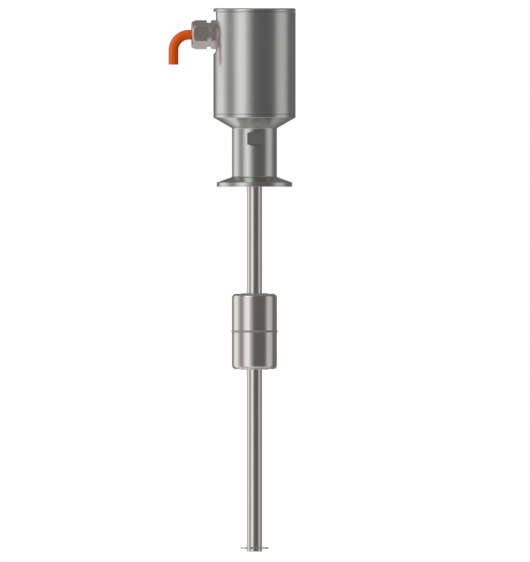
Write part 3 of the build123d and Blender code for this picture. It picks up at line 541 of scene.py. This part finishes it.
# %% A finish under way
class Finish(Tree):
    """A material with a Principled shader. Plain numbers are given by the socket's name."""

    def __init__(self, name, **plain):
        self.material = bpy.data.materials.new(name)
        self.material.use_nodes = True
        super().__init__(self.material.node_tree)
        self.shader = self.tree.nodes["Principled BSDF"]
        for socket, value in plain.items():
            self.set(socket.replace("_", " "), value)

    def set(self, socket, value):
        """Give the shader's socket a plain value or a link."""
        self.feed(self.shader.inputs[socket], value)

    def shade(self, field, dark, light):
        """Base colour from dark to light as the field goes from 0 to 1."""
        self.set("Base Color", self.mix(field, dark, light))

    def relief(self, height, distance, strength=1.0):
        """Bumps as high as distance, in metres, where height goes from 0 to 1."""
        inputs = {"Strength": strength, "Distance": distance, "Height": height}
        self.set("Normal", self.node("ShaderNodeBump", inputs=inputs))


def tint(color, factor):
    """The colour made lighter or darker by a factor, up to white."""
    return tuple(round(min(1.0, c * factor), 4) for c in color)


finishes = {}
print("finish tools ready")

# %% [markdown]
# The head's steel is turned on a lathe: the tool leaves rings about a quarter of a millimetre
# apart, round the sensor's axis on the walls and round the middle on the faces. Both are the same
# pattern when the noise reads only the distance from the axis and the height. A slow second noise
# bends the rings a little and varies the shine, as handling and washing do.

# %% Turned and ground steel
CLOUD_SCALE, CLOUD_BEND = 70, 0.8


def turned(name, color, rough, pitch, depth, around_gland=False, metallic=1.0):
    """Steel with rings round the main axis, or round the gland's axis, pitch apart and depth high."""
    finish = Finish(name, Metallic=metallic)
    place = finish.place()
    x, y, z = finish.split(place)
    if around_gland:
        along, first, second = x, y, z - gland_height
    else:
        along, first, second = z, x, y
    radius = (first * first + second * second) ** 0.5
    cloud = finish.noise(place, CLOUD_SCALE, detail=3)
    wander = cloud * (pitch * CLOUD_BEND)
    section = finish.vector(radius + wander, along + wander, 0)
    rings = finish.noise(section, 1 / pitch, detail=3)
    finish.shade(cloud, tint(color, 0.95), tint(color, 1.05))
    finish.set("Roughness", rough + (rings - 0.5) * 0.07 + (cloud - 0.5) * 0.08)
    finish.relief(rings, depth)
    finishes[name] = finish.material


turned("head_steel", (0.6, 0.6, 0.59), 0.245, 0.25 * mm, 0.004 * mm)
turned("tube_steel", (0.71, 0.667, 0.635), 0.13, 0.18 * mm, 0.002 * mm)
turned("gland_metal", (0.69, 0.632, 0.6), 0.33, 0.2 * mm, 0.004 * mm, around_gland=True)
turned("weld_steel", (0.4, 0.385, 0.37), 0.62, 0.12 * mm, 0.006 * mm, metallic=0.3)
print("turned steels made")

# %% [markdown]
# The clip is stamped from spring strip: the rolls leave straight lines on its faces, and tempering
# leaves it a little brown. Small hardware has a zinc plate, which is crystalline and faintly blue.

# %% Stamped, plated and drawn metals
def drawn(name, color, rough, stretch, grain, depth):
    """Metal whose grain is pulled along one axis. Stretch gives the features to the metre on X, Y and
    Z, grain the spots to the metre, and depth the height of the lines."""
    finish = Finish(name, Metallic=1.0)
    place = finish.place()
    x, y, z = finish.split(place)
    pulled = finish.vector(x * stretch[0], y * stretch[1], z * stretch[2])
    lines = finish.noise(pulled, 1, detail=3)
    spots = finish.noise(place, grain)
    finish.shade(spots, tint(color, 0.88), tint(color, 1.08))
    finish.set("Roughness", rough + (lines - 0.5) * 0.12)
    finish.relief(lines, depth)
    finishes[name] = finish.material


drawn("clip_steel", (0.66, 0.635, 0.61), 0.22, (300, 6000, 6000), 400, 0.004 * mm)
drawn("plated_steel", (0.62, 0.63, 0.65), 0.28, (4000, 4000, 4000), 900, 0.004 * mm)
drawn("tinned_copper", (0.72, 0.71, 0.68), 0.3, (900, 5000, 5000), 900, 0.003 * mm)
drawn("brass", (0.76, 0.57, 0.27), 0.25, (5000, 5000, 900), 700, 0.003 * mm)
drawn("waveguide_alloy", (0.6, 0.58, 0.55), 0.25, (6000, 6000, 200), 500, 0.002 * mm)
drawn("enamelled_copper", (0.72, 0.3, 0.12), 0.3, (2500, 2500, 8000), 700, 0.006 * mm)
drawn("capacitor_can", (0.74, 0.74, 0.76), 0.3, (900, 900, 5000), 700, 0.003 * mm)
drawn("magnet", (0.34, 0.335, 0.34), 0.42, (3500, 3500, 3500), 1200, 0.01 * mm)
print("drawn metals made")

# %% [markdown]
# The cable's sheath is extruded plastic: half matt, with a faint orange-peel grain. Its strong
# colour differs a little from one patch to the next.

# %% The orange sheath
PEEL_SCALE, PATCH_SCALE = 2600, 240

sheath = Finish("orange_sheath", Roughness=0.58, Specular_IOR_Level=0.25)
place = sheath.place()
peel = sheath.noise(place, PEEL_SCALE, detail=3)
patch = sheath.noise(place, PATCH_SCALE)
sheath.shade(patch, (0.945, 0.129, 0.003), (0.98, 0.14, 0.004))
sheath.relief(peel, 0.012 * mm, 0.5)
finishes["orange_sheath"] = sheath.material
print("sheath made")

# %% [markdown]
# Moulded plastics and rubber differ by colour, shine and grain only, so one function makes them
# all.

# %% Plastics and rubber
def moulded(name, color, rough, grain, depth):
    """Plastic or rubber with slight differences in shade and shine. Grain is the number of its fine
    bumps to the metre, and depth their height."""
    finish = Finish(name)
    place = finish.place()
    fine = finish.noise(place, grain, detail=3)
    broad = finish.noise(place, grain / 12)
    finish.shade(broad, tint(color, 0.85), tint(color, 1.12))
    finish.set("Roughness", rough + (broad - 0.5) * 0.12)
    finish.relief(fine, depth, 0.7)
    finishes[name] = finish.material


moulded("black_rubber", (0.022, 0.022, 0.023), 0.62, 4000, 0.02 * mm)
moulded("black_plastic", (0.028, 0.028, 0.03), 0.42, 3500, 0.015 * mm)
moulded("white_plastic", (0.78, 0.78, 0.76), 0.4, 3500, 0.012 * mm)
moulded("clear_polymer", (0.74, 0.75, 0.74), 0.3, 3000, 0.008 * mm)
moulded("green_plastic", (0.035, 0.27, 0.075), 0.4, 3500, 0.015 * mm)
for color, value in CORE_COLORS.items():
    moulded(f"core_{color}", value, 0.38, 3000, 0.008 * mm)
print("plastics made")

# %% [markdown]
# A circuit board is green because of its solder mask, and the copper under the mask shows as
# lighter tracks. Measured by Manhattan distance, the border between two cells of a Voronoi pattern
# runs straight and turns by 45 degrees, as tracks do. It lies where the nearest point and the
# second nearest are about equally far. A smaller pattern measured the usual way gives round dots,
# for the vias.

# %% The circuit boards
TRACK_SCALE, TRACK_WIDTH = 330, 0.2
VIA_SCALE, VIA_SIZE = 500, 0.13
WEAVE_SCALE = 2200

board = Finish("circuit_board", Roughness=0.36)
place = board.place()
nearest, second, dots = (
    board.node(
        "ShaderNodeTexVoronoi",
        {"feature": feature, "distance": distance, "voronoi_dimensions": "2D"},
        {"Vector": place, "Scale": scale},
    )
    for feature, distance, scale in (
        ("F1", "MANHATTAN", TRACK_SCALE),
        ("F2", "MANHATTAN", TRACK_SCALE),
        ("F1", "EUCLIDEAN", VIA_SCALE),
    )
)
tracks = second - nearest < TRACK_WIDTH
vias = dots < VIA_SIZE
weave = board.noise(place, WEAVE_SCALE)
laminate = board.mix(weave, (0.012, 0.085, 0.03), (0.018, 0.12, 0.042))
masked = board.mix(tracks, laminate, (0.03, 0.2, 0.075))
board.set("Base Color", board.mix(vias, masked, (0.42, 0.4, 0.3)))
board.relief(tracks, 0.035 * mm, 0.8)
finishes["circuit_board"] = board.material
print("boards made")

# %% [markdown]
# Each solid takes the finish that its material slot names. Only the coloured cores have none of
# that name: their plain solid is replaced, so any finish does for it.

# %% Each piece gets its finish
for part in frame["record"]["subparts"]:
    node = nodes[part["node"]]
    node.data.materials.clear()
    node.data.materials.append(finishes.get(part["material_slot"], finishes["white_plastic"]))
cable.data.materials.append(finishes["orange_sheath"])
bead.data.materials.append(finishes["weld_steel"])
strands.data.materials.append(finishes["enamelled_copper"])
for pieces in (cut_pieces, cores):
    for piece, color in zip(pieces, CORE_COLORS):
        piece.data.materials.append(finishes[f"core_{color}"])
print(len(finishes), "finishes on", len(nodes), "nodes")

# %% [markdown]
# ## The floor
#
# The sensor stands on a pale floor that fades into the white background. A real floor would end in
# a grey line at the horizon. Here its own colour and shadow show near the object, and further out
# the camera sees it turn white. Steel doesn't see the floor: it shows the tent's lower panels.

# %% A pale floor that fades out
floor_half = 2.5
floor_drop = 0.02 * mm  # under the end plug, so that the two faces don't lie in one plane
fade_start, fade_end = 0.25, 1.1
paper_white, paper_glow = 0.88, 0.34
fibre_scale, fibre_contrast = 500, 0.04
corners = np.array([[-1, -1], [1, -1], [1, 1], [-1, 1]]) * floor_half
floor_points = np.column_stack([corners, np.full(4, cad_low.z - floor_drop)])
floor_mesh = bpy.data.meshes.new("floor")
floor_mesh.from_pydata(floor_points.tolist(), [], [[0, 1, 2, 3]])
floor = bpy.data.objects.new("floor", floor_mesh)
bpy.context.scene.collection.objects.link(floor)
floor.visible_glossy = False

paper = Finish("paper", Roughness=0.9, Emission_Strength=1.0)
place = paper.place()
x, y, _ = paper.split(place)
seen = paper.node("ShaderNodeLightPath", output="Is Camera Ray")
out = ((x * x + y * y) ** 0.5).fade(fade_start, fade_end) * seen
fibre = paper.noise(place, fibre_scale, detail=3)
kept = (1 - out) * (paper_white + fibre * fibre_contrast)
glow = seen * (paper_glow + out * (1 - paper_glow))
for socket, grey in (("Base Color", kept), ("Emission Color", glow)):
    paper.set(socket, paper.node("ShaderNodeCombineColor", inputs={0: grey, 1: grey, 2: grey}))
floor_mesh.materials.append(paper.material)
print("floor at", round(cad_low.z / mm, 1), "mm")

# %% [markdown]
# ## The last step
#
# The colours are shown as they are, with the Standard view transform.

# %% The view transform
bpy.context.scene.view_settings.view_transform = "Standard"
